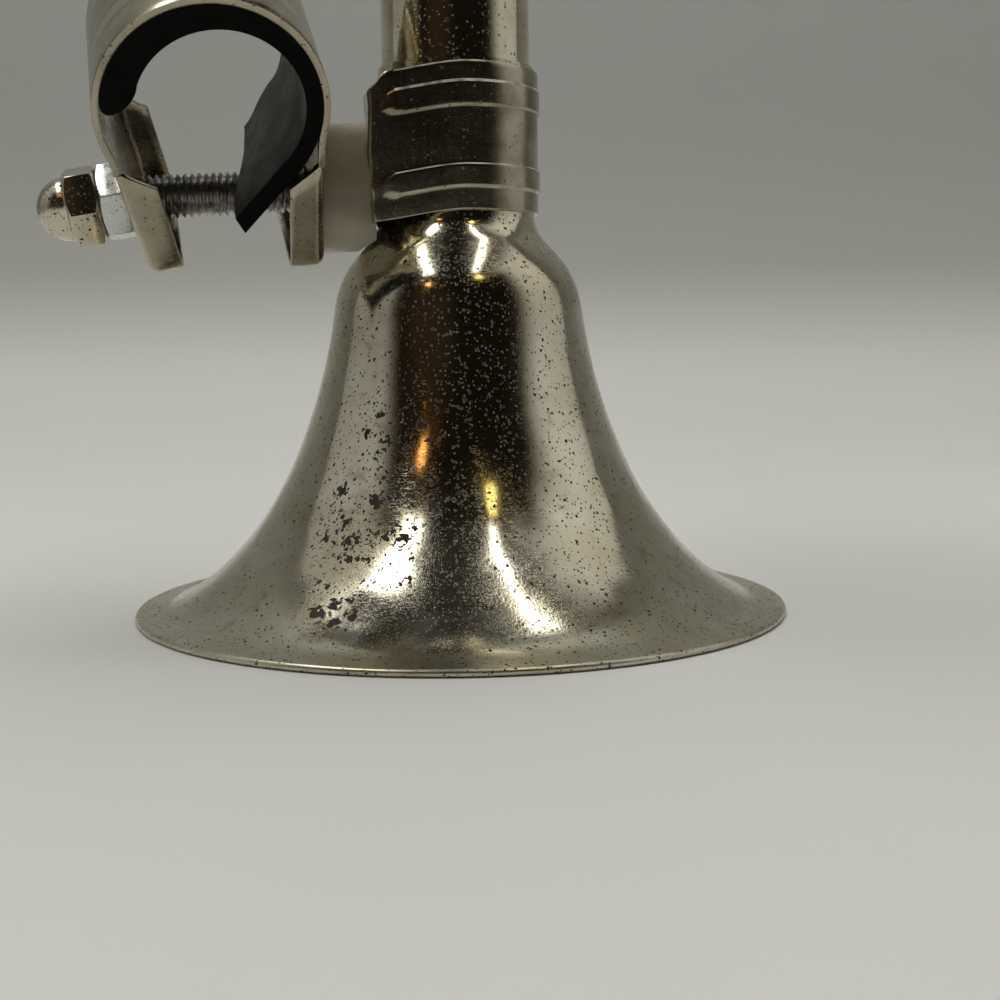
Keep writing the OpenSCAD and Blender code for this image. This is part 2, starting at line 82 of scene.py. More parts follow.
# How far the spacer reaches into the seat
SPACER_SUNK = 0.25
LOBE_NEAR = 7.5
LOBE_FAR = 5.5
SEAT_LEAN = 0.17
BEAD_W = 2.6
BEAD_RISE = 0.2
BEAD_MIDDLES = (3.75, 12.95)
BEAD_END = 9.7
TOP_LIFT = 0.6
CORNER_DROP = 1.8
EDGE_EASE = 0.12
EDGE_DIP = 1.5
# Clamp screw and its frame
SCREW_Z = 51.2
DROOP = 3.5
SWIVEL = 35
SCREW_R = 2.5
HEAD_R = 3.4
HEAD_T = 0.4
PITCH = 0.8
THREAD_X = 16.3
THREAD_DEPTH = 0.47
BEND = 7.5
SCREW_END = 7.8
# Strap and liner
STRAP_W = 20
STRAP_T = 0.75
INNER_EAR_X = SEAT_X + 6.8
BAR_R = 8.8
BORE_SHIFT = 0.8
LINER_R = BAR_R + 2.6
RING_R = LINER_R + 0.05 + STRAP_T
RING_X = INNER_EAR_X + RING_R - 0.6
RING_Z = LINER_R + 0.05 + 3.6
OUTER_EAR_X = RING_X + RING_R - 3.3
EAR_LEAN = 12
FLANGE_D = 3.9
FOLD_R = 1.4
EAR_CORNER = 1.9
EAR_DROP = 4.9
FLANGE_TOP = 8.2
FLANGE_LOW = 5.7
EAR_HOLE_R = 2.8
LINER_END = 175
LINER_LEAVE = 41.5
LINER_SLANT = 18
LINER_LIP = -1.5
LINER_ROUND = 2.0
TAIL_LEN = 8.3
TAIL_SKEW = 0.75
TAIL_PUSH = 2.2
LINER_PUSH = 0.8
# Nuts
NUT_AF = 8.0
NUT_LEAN = math.tan(math.radians(EAR_LEAN)) - math.tan(math.radians(BEND))
NUT_SEAT = STRAP_T / 2 + 0.98 * NUT_AF / 2 * NUT_LEAN + 0.03
NUT_H = 3.2
NUT_TURN = -8
DOME_HEX_H = 3.6
DOME_H = 7.2
DOME_R = 3.6
DOME_HOLLOW = 6.3
DOME_TURN = 12
# Bulb
BULB_R = 27.5
BULB_LOW = 96.0
BULB_START = 113.5
BULB_MID = 146.0
BULB_TOP = 176.0
BULB_NECK_R = 11.2
BULB_WALL = 2.5
CUFF_H = 3.0
CUFF_LIP = 0.9
CUFF_ROUND = 0.7
# Handle of a cubic curve that runs as a quarter of a circle
ROUND_PULL = 0.56


# Curves and meshes

def blended(shares, points):
    """Sum of points in a plane, each times its share."""
    return tuple(sum(share * point[k] for share, point in zip(shares, points)) for k in (0, 1))


def between(a, b, t):
    """The point at part t of the way from a to b."""
    return blended((1 - t, t), (a, b))


def eased(a, pull, b, t):
    """The point at part t of the curve from a to b that bends towards pull."""
    u = 1 - t
    return blended((u * u, 2 * u * t, t * t), (a, pull, b))


def cubic(p, steps, first=0):
    """Points of the cubic curve from p[0] to p[3], from step first on, each with its normal to the right."""
    found = []
    for i in range(first, steps + 1):
        t = i / steps
        u = 1 - t
        at = blended((u ** 3, 3 * u * u * t, 3 * u * t * t, t ** 3), p)
        way = blended((-u * u, u * u - 2 * u * t, 2 * u * t - t * t, t * t), p)
        size = math.hypot(*way)
        found.append((at, (way[1] / size, -way[0] / size)))
    return found


def round_points(r, count):
    """Points evenly round a circle about the origin."""
    turns = [2 * math.pi * j / count for j in range(count)]
    return [(r * math.cos(a), r * math.sin(a)) for a in turns]


def arc(centre, r, start, end, steps):
    """Points of an arc, angles in degrees."""
    turns = [math.radians(start + (end - start) * i / steps) for i in range(steps + 1)]
    return [(centre[0] + r * math.cos(a), centre[1] + r * math.sin(a)) for a in turns]


def smooth(t):
    """Eased step from 0 to 1."""
    t = min(1.0, max(0.0, t))
    return t * t * (3 - 2 * t)


def wobble(x, y, z, size, seed):
    """Even noise from -1 to 1 with bumps of about that size in mm."""
    return noise.noise(Vector((x / size + seed, y / size - seed, z / size + 2 * seed)))


def make(name, points, faces, material, sharp=32):
    """Mesh object from points in mm, smooth but for edges sharper than the angle."""
    mesh = bpy.data.meshes.new(name)
    mesh.from_pydata([Vector(p) * MM for p in points], [], faces)
    mesh.validate()
    mesh.update()
    obj = bpy.data.objects.new(name, mesh)
    bpy.context.scene.collection.objects.link(obj)
    mesh.materials.append(material)
    shade(obj, sharp)
    return obj


def shade(obj, sharp=32):
    """Smooth, but for edges sharper than the angle."""
    obj.data.shade_smooth()
    obj.data.set_sharp_from_angle(angle=math.radians(sharp))


def grid(rows, cols, around=False, closed=False):
    """Faces of a grid of points: around joins the last column to the first, closed the last row."""
    faces = []
    for i in range(rows if closed else rows - 1):
        for j in range(cols if around else cols - 1):
            a, b = i * cols, (i + 1) % rows * cols
            k = (j + 1) % cols
            faces.append((a + j, a + k, b + k, b + j))
    return faces


def revolve(name, outline, material, segments, warp, sharp=32):
    """Solid from a closed outline of (radius, z), each point moved by warp."""
    points = []
    for r, z in outline:
        for j in range(segments):
            a = 2 * math.pi * j / segments
            points.append(warp((r * math.cos(a), r * math.sin(a), z)))
    faces = grid(len(outline), segments, around=True, closed=True)
    obj = make(name, points, faces, material, sharp)
    outward(obj)
    return obj


def outward(obj):
    """Turns every face outwards."""
    bm = bmesh.new()
    bm.from_mesh(obj.data)
    bmesh.ops.recalc_face_normals(bm, faces=bm.faces)
    bm.to_mesh(obj.data)
    bm.free()
    shade(obj)


def apply(obj, sharp=32):
    """Bakes the object's modifiers into its mesh."""
    bpy.context.view_layer.update()
    depsgraph = bpy.context.evaluated_depsgraph_get()
    mesh = bpy.data.meshes.new_from_object(obj.evaluated_get(depsgraph))
    obj.modifiers.clear()
    obj.data = mesh
    shade(obj, sharp)


def cut(obj, *tools, sharp=32):
    """Cuts closed meshes out of an object and removes them."""
    for tool in tools:
        knife = obj.modifiers.new("cut", "BOOLEAN")
        knife.object = tool
        knife.operation = "DIFFERENCE"
        knife.solver = "EXACT"
    apply(obj, sharp)
    for tool in tools:
        bpy.data.objects.remove(tool)


def bevel(obj, width, segments, angle):
    """Modifier that rounds the edges sharper than the angle."""
    edge = obj.modifiers.new("bevel", "BEVEL")
    edge.width = width * MM
    edge.segments = segments
    edge.limit_method = "ANGLE"
    edge.angle_limit = math.radians(angle)


# Frames of the clamp

def turned(point, axis, degrees):
    return Matrix.Rotation(math.radians(degrees), 3, axis) @ Vector(point)


def screw_frame(point):
    """From the screw's frame, upright and level, to the part's frame."""
    return turned(point, "Y", -DROOP) + Vector((0, 0, SCREW_Z))


def clamp_frame(point):
    """From the clamp's own frame, standing upright over the screw, to the part's frame."""
    return screw_frame(turned(point, "X", SWIVEL))


def bent_frame(point, turn=0):
    """From the frame of the screw's bent end, +Z outwards from the bend, to the part's frame."""
    outwards = turned(point, "Y", -90)
    bent = turned(turned(outwards, "X", turn), "Y", -BEND)
    return clamp_frame(bent + Vector((-OUTER_EAR_X + STRAP_T / 2, 0, 0)))


# Materials

class Tree:
    """Short ways to add nodes to a node tree."""

    def __init__(self, tree):
        self.tree = tree

    def node(self, kind, **properties):
        made = self.tree.nodes.new(kind)
        for key, value in properties.items():
            setattr(made, key, value)
        return made

    def feed(self, socket, value):
        """Links an output to the socket, or sets its value."""
        if isinstance(value, bpy.types.NodeSocket):
            self.tree.links.new(value, socket)
        else:
            socket.default_value = value

    def math(self, operation, a, b=0.0):
        made = self.node("ShaderNodeMath", operation=operation)
        self.feed(made.inputs[0], a)
        self.feed(made.inputs[1], b)
        return made.outputs[0]

    def add(self, a, b):
        return self.math("ADD", a, b)

    def times(self, a, b):
        return self.math("MULTIPLY", a, b)

    def ramp(self, value, low, high, out_low=0.0, out_high=1.0):
        """Eased step between two values, clamped."""
        made = self.node("ShaderNodeMapRange", interpolation_type="SMOOTHSTEP")
        if high < low:
            low, high, out_low, out_high = high, low, out_high, out_low
        self.feed(made.inputs["Value"], value)
        made.inputs["From Min"].default_value = low
        made.inputs["From Max"].default_value = high
        made.inputs["To Min"].default_value = out_low
        made.inputs["To Max"].default_value = out_high
        return made.outputs["Result"]

    def mix(self, share, a, b):
        """Colour between a and b."""
        made = self.node("ShaderNodeMix", data_type="RGBA")
        self.feed(made.inputs[0], share)
        for socket, value in ((made.inputs[6], a), (made.inputs[7], b)):
            self.feed(socket, value if isinstance(value, bpy.types.NodeSocket) else (*value, 1))
        return made.outputs[2]

    def vector(self, operation, a, b):
        made = self.node("ShaderNodeVectorMath", operation=operation)
        self.feed(made.inputs[0], a)
        self.feed(made.inputs[1], b)
        return made.outputs["Value" if operation in ("DISTANCE", "DOT_PRODUCT") else "Vector"]


class Paint(Tree):
    """A Principled material and the nodes that drive it."""

    def __init__(self, name, colour, roughness, metallic=0.0, **sockets):
        self.material = bpy.data.materials.new(name)
        self.material.use_nodes = True
        super().__init__(self.material.node_tree)
        self.shader = next(n for n in self.tree.nodes if n.type == "BSDF_PRINCIPLED")
        self.set("Base Color", (*colour, 1))
        self.set("Roughness", roughness)
        self.set("Metallic", metallic)
        for key, value in sockets.items():
            self.set(key.replace("_", " "), value)
        self.place = self.node("ShaderNodeTexCoord").outputs["Object"]

    def set(self, socket, value):
        self.shader.inputs[socket].default_value = value

    def link(self, source, socket):
        self.tree.links.new(source, self.shader.inputs[socket])

    def noise(self, size, detail, rough, place=None):
        """Noise of bumps about size mm across, 0 to 1."""
        made = self.node("ShaderNodeTexNoise")
        self.feed(made.inputs["Vector"], place or self.place)
        made.inputs["Scale"].default_value = 1 / (size * MM)
        made.inputs["Detail"].default_value = detail
        made.inputs["Roughness"].default_value = rough
        return made.outputs["Fac"]

    def specks(self, size, share, radius, ragged=0.35):
        """Ragged specks in a share of the cells of size mm, their radius as a part of the cell."""
        blur = self.node("ShaderNodeTexNoise")
        self.feed(blur.inputs["Vector"], self.place)
        blur.inputs["Scale"].default_value = 2.6 / (size * MM)
        blur.inputs["Detail"].default_value = 2
        push = self.vector("SUBTRACT", blur.outputs["Color"], (0.5, 0.5, 0.5))
        scaled = self.node("ShaderNodeVectorMath", operation="SCALE")
        self.feed(scaled.inputs[0], push)
        scaled.inputs["Scale"].default_value = ragged * size * MM * 2
        cells = self.node("ShaderNodeTexVoronoi")
        self.feed(cells.inputs["Vector"], self.vector("ADD", self.place, scaled.outputs["Vector"]))
        cells.inputs["Scale"].default_value = 1 / (size * MM)
        chance = self.node("ShaderNodeSeparateColor")
        self.feed(chance.inputs[0], cells.outputs["Color"])
        held = self.math("LESS_THAN", chance.outputs[0], share)
        reach = self.times(self.add(self.times(chance.outputs[1], radius * 0.6), radius * 0.4), held)
        return self.ramp(self.math("SUBTRACT", reach, cells.outputs["Distance"]), 0.0, 0.06)

    def stretched(self, x, y, z):
        """The place with each axis scaled: a small scale draws a pattern out along it."""
        made = self.node("ShaderNodeMapping")
        self.feed(made.inputs["Vector"], self.place)
        made.inputs["Scale"].default_value = (x, y, z)
        return made.outputs["Vector"]

    def near(self, centre, radius):
        """1 at a place in mm, falling to 0 at the radius."""
        off = self.vector("DISTANCE", self.place, Vector(centre) * MM)
        return self.ramp(off, radius * MM * 0.3, radius * MM, 1, 0)

    def bump(self, height, depth):
        """Bump of that depth in mm, on top of any earlier one."""
        made = self.node("ShaderNodeBump")
        made.inputs["Distance"].default_value = depth * MM
        self.feed(made.inputs["Height"], height)
        normal = self.shader.inputs["Normal"]
        if normal.links:
            self.feed(made.inputs["Normal"], normal.links[0].from_socket)
        self.link(made.outputs["Normal"], "Normal")


RUST = (0.030, 0.018, 0.011)
GRIME = (0.060, 0.045, 0.031)
STAIN = (0.20, 0.16, 0.11)


def nickel_paint(name, colour, roughness, pits, patches=()):
    """Old nickel plate: pits, rust blots where patches says, brown haze and hairline scratches."""
    p = Paint(name, colour, roughness, 1.0)
    dim = tuple(c * s for c, s in zip(colour, (0.80, 0.76, 0.68)))
    tint = p.mix(p.ramp(p.noise(12, 4, 0.65), 0.35, 0.7), colour, dim)
    drift = p.ramp(p.noise(7, 3, 0.6), 0.35, 0.7, -0.08, 0.20)
    patchy = 0.0
    for centre, radius, more in patches:
        patchy = p.add(patchy, p.times(p.near(centre, radius), more))
    share = p.add(p.add(drift, pits), p.times(patchy, 0.5))
    fine = p.math("MAXIMUM", p.specks(0.7, share, 0.31), p.times(p.specks(0.42, share, 0.36), 0.85))
    gathered = p.ramp(p.noise(4, 2, 0.5), 0.38, 0.60, 0.35, 1.3)
    blots = p.math("MAXIMUM", p.specks(1.9, p.times(patchy, gathered), 0.55, 0.7),
                   p.specks(0.8, p.times(patchy, gathered), 0.5, 0.6))
    haze = p.ramp(p.add(p.noise(3, 4, 0.65), p.times(patchy, 0.2)), 0.54, 0.80, 0, 0.45)
    dirty = p.mix(fine, p.mix(haze, tint, STAIN), GRIME)
    p.link(p.mix(blots, dirty, RUST), "Base Color")
    rust = p.math("MAXIMUM", blots, fine)
    p.link(p.ramp(blots, 0, 1, 1.0, 0.15), "Metallic")
    height = p.node("ShaderNodeSeparateXYZ")
    p.feed(height.inputs[0], p.place)
    sandy = p.ramp(height.outputs["Z"], 5 * MM, 16 * MM, 1, 0)
    rim = p.ramp(height.outputs["Z"], 1.25 * MM, 1.9 * MM, 1, 0)
    dull = p.add(p.times(p.noise(5, 4, 0.6), 0.10), p.add(p.times(sandy, 0.04), p.times(rim, 0.16)))
    p.link(p.add(p.add(dull, roughness - 0.05), p.times(rust, 0.45)), "Roughness")
    for lean, size in (((1, 1, 26), 0.9), ((22, 20, 1.2), 1.3)):
        p.bump(p.ramp(p.noise(size, 1, 0.4, p.stretched(*lean)), 0.30, 0.36), 0.0012)
    p.bump(p.times(rust, -1.0), 0.03)
    p.bump(p.times(p.noise(0.3, 2, 0.5), p.add(p.times(sandy, 3.0), 1.0)), 0.0026)
    return p.material


def satin_paint(name, light, dark, roughness, brushed_along, lined_across=None):
    """Satin nickel gone brown, with fine brushing and specks, and perhaps the lines of a rolled strip."""
    p = Paint(name, light, roughness, 1.0)
    speck = p.math("MAXIMUM", p.specks(0.7, 0.25, 0.28), p.times(p.specks(0.4, 0.25, 0.3), 0.7))
    haze = p.ramp(p.noise(6, 4, 0.6), 0.33, 0.68)
    plate = p.mix(haze, light, dark)
    if lined_across:
        lines = p.node("ShaderNodeTexNoise", noise_dimensions="1D")
        p.feed(lines.inputs["W"], p.vector("DOT_PRODUCT", p.place, lined_across))
        lines.inputs["Scale"].default_value = 1 / (1.7 * MM)
        lines.inputs["Detail"].default_value = 3
        lines.inputs["Roughness"].default_value = 0.65
        plate = p.mix(p.ramp(lines.outputs["Fac"], 0.46, 0.64, 0, 0.5), plate, (0.19, 0.16, 0.11))
    p.link(p.mix(p.times(speck, 0.8), plate, GRIME), "Base Color")
    p.link(p.ramp(speck, 0, 1, 1.0, 0.4), "Metallic")
    brushed = p.noise(0.22, 3, 0.6, p.stretched(*brushed_along))
    p.link(p.ramp(brushed, 0.3, 0.7, roughness - 0.03, roughness + 0.04), "Roughness")
    p.bump(brushed, 0.0015)
    p.bump(p.times(speck, -1.0), 0.012)
    return p.material


def highlight_paint(name):
    """Painted highlight: plate painted pale and broken up by noise, standing in for the bright lines along
    an edge.
    """
    p = Paint(name, (0.6, 0.56, 0.46), 0.35, 0.3)
    # Noise breaks the painted highlight into pale and dark patches
    patchy = p.ramp(p.noise(1.6, 3, 0.6), 0.3, 0.6)
    p.link(p.mix(patchy, (0.22, 0.19, 0.14), (0.66, 0.62, 0.51)), "Base Color")
    p.bump(p.noise(0.3, 2, 0.5), 0.003)
    return p.material


def zinc_paint(name):
    """Bright zinc plate with dark specks."""
    p = Paint(name, (0.74, 0.76, 0.78), 0.25, 1.0)
    speck = p.specks(0.5, 0.3, 0.3)
    p.link(p.mix(speck, (0.60, 0.61, 0.60), (0.14, 0.13, 0.12)), "Base Color")
    p.link(p.ramp(p.noise(0.8, 3, 0.6), 0.3, 0.7, 0.18, 0.36), "Roughness")
    p.bump(p.noise(0.22, 3, 0.6), 0.006)
    return p.material


def steel_paint(name):
    """Dark oiled steel."""
    p = Paint(name, (0.3, 0.29, 0.27), 0.4, 1.0)
    grime = p.ramp(p.noise(1.4, 4, 0.65), 0.45, 0.7)
    p.link(p.mix(grime, (0.42, 0.41, 0.385), (0.16, 0.145, 0.125)), "Base Color")
    p.link(p.ramp(grime, 0, 1, 0.36, 0.55), "Roughness")
    p.bump(p.noise(0.2, 2, 0.5), 0.006)
    return p.material


def nylon_paint(name):
    """Ivory nylon that light enters, with painted shade: darker and browner round the height of the screw,
    paler towards its top and bottom edges.
    """
    p = Paint(name, (0.46, 0.43, 0.35), 0.42, 0.0, Subsurface_Weight=0.3, Subsurface_Scale=0.002)
    height = p.node("ShaderNodeSeparateXYZ")
    p.feed(height.inputs[0], p.place)
    # Painted shade: the colour darkens towards the screw's height and pales towards the top and bottom edges
    off = p.math("ABSOLUTE", p.math("SUBTRACT", height.outputs["Z"], SCREW_Z * MM))
    edge = p.ramp(p.add(off, p.times(p.noise(2.5, 3, 0.6), 2.4 * MM)), 4.0 * MM, 8.4 * MM)
    p.link(p.mix(edge, (0.215, 0.18, 0.12), (0.52, 0.485, 0.385)), "Base Color")
    p.link(p.ramp(p.noise(0.8, 3, 0.6), 0.3, 0.7, 0.34, 0.52), "Roughness")
    p.bump(p.noise(0.5, 3, 0.5), 0.01)
    return p.material


def rubber_paint(name, colour, roughness, dusty, shine=0.5):
    """Moulded black rubber with dust in its pores."""
    p = Paint(name, colour, roughness, Specular_IOR_Level=shine)
    dust = p.ramp(p.noise(0.5, 3, 0.6), 0.62, 0.74, 0, dusty)
    cloud = p.ramp(p.noise(7, 4, 0.6), 0.3, 0.75, 0, 0.6)
    grey = tuple(min(1, c * 3.5 + 0.03) for c in colour)
    base = p.mix(cloud, colour, tuple(c * 1.7 for c in colour))
    p.link(p.mix(dust, base, grey), "Base Color")
    p.link(p.ramp(p.noise(3, 3, 0.5), 0.3, 0.7, roughness - 0.08, roughness + 0.1), "Roughness")
    p.bump(p.noise(0.3, 3, 0.6), 0.012)
    return p.material


def brass_paint(name):
    """Tarnished brass."""
    p = Paint(name, (0.62, 0.43, 0.17), 0.3, 1.0)
    tarnish = p.ramp(p.noise(3, 4, 0.6), 0.4, 0.7)
    p.link(p.mix(tarnish, (0.66, 0.47, 0.2), (0.30, 0.19, 0.08)), "Base Color")
    p.link(p.ramp(tarnish, 0, 1, 0.22, 0.45), "Roughness")
    p.bump(p.noise(0.3, 2, 0.5), 0.004)
    return p.material


RUST_PATCHES = (((-12.5, -15.5, 13), 8.5, 0.65), ((-10, -14, 20), 6, 0.45), ((-6, -19, 14), 7, 0.4),
                ((-16, -21, 6), 9, 0.25))
NICKEL = nickel_paint("bell nickel", (0.61, 0.58, 0.47), 0.11, 0.56, RUST_PATCHES)
TUBE_NICKEL = nickel_paint("tube nickel", (0.70, 0.665, 0.545), 0.10, 0.18)
DOME_NICKEL = nickel_paint("dome nickel", (0.60, 0.56, 0.46), 0.18, 0.45)
SATIN = satin_paint("satin nickel", (0.45, 0.41, 0.32), (0.26, 0.225, 0.16), 0.20, (1.0, 1.0, 0.9))
# Painted highlight for the upper edges of the collar's beads and band
PAINTED_HIGHLIGHT = highlight_paint("painted highlight nickel")
STRAP_NICKEL = satin_paint("strap nickel", (0.50, 0.46, 0.36), (0.36, 0.32, 0.235), 0.24, (0.25, 1.0, 1.0),
                            tuple(turned((0, 1, 0), "X", SWIVEL)))
ZINC = zinc_paint("bright zinc")
STEEL = steel_paint("dark steel")
NYLON = nylon_paint("ivory nylon")
LINER_RUBBER = rubber_paint("liner rubber", (0.017, 0.017, 0.0165), 0.5, 0.3, 0.3)
CUT_RUBBER = rubber_paint("cut rubber", (0.002, 0.002, 0.002), 0.6, 0.02, 0.06)
BULB_RUBBER = rubber_paint("bulb rubber", (0.014, 0.014, 0.015), 0.42, 0.5)
BRASS = brass_paint("brass")


# Bell and tube

def dented(point):
    """The spun sheet is never quite true: long waves, and one small dent in the rim."""
    x, y, z = point
    r = math.hypot(x, y)
    wave = 0.10 * wobble(x, y, z, 11, 3.1) + 0.05 * wobble(x, y, z, 5, 8.7)
    wave += 0.05 * wobble(x, y, z, 3.4, 6.3) * smooth((20 - z) / 8)
    wave *= smooth((z - 1.5) / 6) * smooth((NECK_Z + 1 - z) / 4)
    push = 1 + wave / max(r, 1)
    lift = 0.0
    if r > MOUTH_R - 6:
        a = math.degrees(math.atan2(y, x))
        dent = math.exp(-((a - RIM_DENT) / 2.2) ** 2)
        lift = 0.35 * dent * smooth((r - MOUTH_R + 6) / 4)
    return (x * push, y * push, z + lift)


def bell():
    """Spun bell: neck sleeve, shoulder, flare, flat rim and a rolled hem."""
    turn = (NECK_R + NECK_TURN[0], NECK_Z - NECK_TURN[1])
    diagonal = (math.sin(math.pi / 4), -math.cos(math.pi / 4))
    way = (math.sin(math.radians(SHOULDER_SLOPE)), -math.cos(math.radians(SHOULDER_SLOPE)))
    foot = (SHOULDER_R, SHOULDER_Z)
    rim = (MOUTH_R - RIM_W, RIM_H)
    rise = (-math.cos(math.radians(RIM_SLOPE)), math.sin(math.radians(RIM_SLOPE)))
    # Lengths of the handles of its three curves
    neck_pull, crown_pull, shoulder_pull, flare_pull, rim_pull = 0.85, 4.5, 2.7, 15.9, 11.6

    def moved(point, step, by):
        return (point[0] + step[0] * by, point[1] + step[1] * by)

    low = (NECK_R, NECK_Z)
    wall = cubic([low, moved(low, (0, -1), neck_pull), moved(turn, diagonal, -neck_pull), turn], 8)
    wall += cubic([turn, moved(turn, diagonal, crown_pull), moved(foot, way, -shoulder_pull), foot], 20, 1)
    wall += cubic([foot, moved(foot, way, flare_pull), moved(rim, rise, rim_pull), rim], 54, 1)
    outside = [(NECK_R, NECK_TOP - 0.1), (NECK_R, NECK_TOP - 3), (NECK_R, NECK_Z + 5)]
    inside = [(NECK_R - SHEET, NECK_TOP), (NECK_R - SHEET, NECK_Z + 5)]
    inside += [moved(at, normal, SHEET) for at, normal in wall]
    # The flare eases into the flat rim, which runs out and rolls under into a hem
    edge = (MOUTH_R - HEM_R, HEM_R)
    fall = 2 * HEM_R - rim[1]
    slope = fall / (edge[0] - rim[0])
    kept = [point for point in wall if point[0][0] < rim[0] - RIM_EASE]
    flare = [at for at, _ in kept]
    before, lean = kept[-1]
    after = (rim[0] + RIM_EASE, rim[1] + slope * RIM_EASE)
    steep = lean[0] / -lean[1]
    across = (after[1] - before[1] + steep * before[0] - slope * after[0]) / (steep - slope)
    middle = (across, before[1] + steep * (across - before[0]))
    flat = [eased(before, middle, after, i / 10) for i in range(1, 11)]
    flat += [between(after, (edge[0], 2 * HEM_R), t) for t in (0.3, 0.6, 0.9)]
    roll = arc(edge, HEM_R, 90, -90, 10)
    hem_end = rim[0] + 0.3
    under = [(hem_end + 1.1, 0.0), (hem_end + 0.15, 0.0), (hem_end, 0.12), (hem_end, rim[1] - SHEET - 0.1)]
    outline = outside + flare + flat + roll + under + inside[::-1]
    obj = revolve("bell", outline, NICKEL, 288, dented, 28)
    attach(obj, "horn")
    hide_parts("bell")


def sound_tube():
    """Straight tube, a little uneven above the collar."""
    inner = TUBE_R - TUBE_WALL
    low, high = TUBE_LOW, TUBE_TOP
    outline = [(TUBE_R, low + 0.15), (TUBE_R - 0.15, low), (inner + 0.1, low), (inner, low + 0.1)]
    outline += [(inner, high - 0.1), (inner + 0.1, high), (TUBE_R - 0.15, high), (TUBE_R, high - 0.15)]
    outline += [(TUBE_R, high - (high - low) * i / 24) for i in range(1, 24)]

    def uneven(point):
        x, y, z = point
        push = 1 + 0.012 * wobble(x, y, z, 9, 5.5) / TUBE_R * smooth((z - TUBE_EVEN) / 4)
        return (x * push, y * push, z)

    obj = revolve("sound_tube", outline, TUBE_NICKEL, 128, uneven)
    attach(obj, "horn")
    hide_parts("sound_tube")


# Collar and spacer

def lobe_outline(r, edge, half_width, middle):
    """Half outline of the collar, from the back of the round to the middle of the seat.

    The seat is edge away from the axis at its side, and middle away at its middle.
    """
    corner = (-edge, half_width)
    turn = math.pi - math.atan2(half_width, edge) - math.acos(r / math.hypot(*corner))
    points = arc((0, 0), r, 0, math.degrees(turn), 40)
    side = points[-1]
    seat = (-middle, 0.0)
    # A bend of under 1 mm joins the straight side to the seat
    cut_back = 0.7
    before = between(corner, side, cut_back / math.dist(side, corner))
    after = between(corner, seat, cut_back / math.dist(seat, corner))
    points += [between(side, before, i / 16) for i in range(1, 16)]
    points += [eased(before, corner, after, i / 8) for i in range(9)]
    points += [between(after, seat, t) for t in (0.33, 0.66, 1.0)]
    return points


def collar():
    """Pressed band with two beads that fade out on the lobe."""
    rows = 96
    points = []
    cols = 0
    for i in range(rows + 1):
        h = COLLAR_H * i / rows
        z = COLLAR_Z + h
        seat = SEAT_X + (z - SCREW_Z) * math.tan(math.radians(DROOP))
        far = lobe_outline(COLLAR_R, seat - SEAT_LEAN * LOBE_FAR, LOBE_FAR, seat)
        # The near edge is wavy and draws in towards the top
        out = SEAT_LEAN * LOBE_NEAR - 0.6 * smooth((z - 54) / 8) + 0.22 * wobble(0.0, 0.0, z, 2.4, 5.1)
        near = lobe_outline(COLLAR_R, seat + out, LOBE_NEAR, seat)
        ring = far + [(x, -y) for x, y in near[-2:0:-1]]
        cols = len(ring)
        for x, y in ring:
            lobe = smooth((-x - BEAD_END + 1.2) / 1.6)
            rise = 0.0
            for middle in BEAD_MIDDLES:
                across = abs(h - middle) / (BEAD_W / 2)
                taper = max(0.0, -x - BEAD_END + BEAD_W / 2) / (BEAD_W / 2)
                rise = max(rise, smooth((1.12 - math.hypot(across, taper)) / 0.24))
            bulge = 1 + (BEAD_RISE * rise - EDGE_EASE * smooth((h - COLLAR_H + 0.35) / 0.35)) / COLLAR_R
            # The band dips towards the seat, and its top edge is higher round the neck and lower there
            droop = smooth((-x - 0.5) / 12.5) * EDGE_DIP
            droop -= TOP_LIFT * smooth((h - 14.4) / 1.5)
            droop += CORNER_DROP * smooth((-x - 9.6) / 2.4) * smooth((h - 11.5) / 4.4)
            wave = 0.05 * wobble(x, y, z, 4, 2.2) * smooth(h / 1.5)
            lean = wave * (1 - lobe)
            points.append((x * bulge + lean * x / COLLAR_R, y * bulge + lean * y / COLLAR_R, z - droop))
    faces = grid(rows + 1, cols, around=True)
    obj = make("neck_collar", points, faces, SATIN)
    # The upper edges of the beads and of the band get a painted highlight, a pale material for their bright
    # lines
    obj.data.materials.append(PAINTED_HIGHLIGHT)
    for face in obj.data.polygons:
        h = COLLAR_H * (face.index // cols + 0.5) / rows
        over = [h - middle - BEAD_W / 2 for middle in BEAD_MIDDLES]
        over.append(h - COLLAR_H)
        if face.center.x > (0.9 - BEAD_END) * MM and any(abs(step) < 0.13 for step in over):
            face.material_index = 1
    wall = obj.modifiers.new("wall", "SOLIDIFY")
    wall.thickness = COLLAR_WALL * MM
    wall.offset = -1
    bevel(obj, 0.1, 2, 50)
    apply(obj, 28)
    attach(obj, "horn")
    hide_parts("neck_collar")


def spacer():
    """The node's own mesh, trimmed to the seat of the collar and with its edges broken."""
    obj = bpy.data.objects.new("spacer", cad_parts["spacer"].data.copy())
    bpy.context.scene.collection.objects.link(obj)
    obj.data.materials.clear()
    obj.data.materials.append(NYLON)
    bm = bmesh.new()
    bm.from_mesh(obj.data)
    bmesh.ops.remove_doubles(bm, verts=bm.verts, dist=0.002 * MM)
    seat = screw_frame((-SEAT_X + SPACER_SUNK, 0, 0))
    away = screw_frame((1, -SEAT_LEAN, 0)) - screw_frame((0, 0, 0))
    every = bm.verts[:] + bm.edges[:] + bm.faces[:]
    made = bmesh.ops.bisect_plane(bm, geom=every, plane_co=seat * MM, plane_no=away, clear_outer=True)
    rim = [e for e in made["geom_cut"] if isinstance(e, bmesh.types.BMEdge)]
    bmesh.ops.holes_fill(bm, edges=rim)
    bm.to_mesh(obj.data)
    bm.free()
    bevel(obj, 0.35, 3, 30)
    apply(obj, 25)
    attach(obj, "horn")
    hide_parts("spacer")


# Screw and nuts

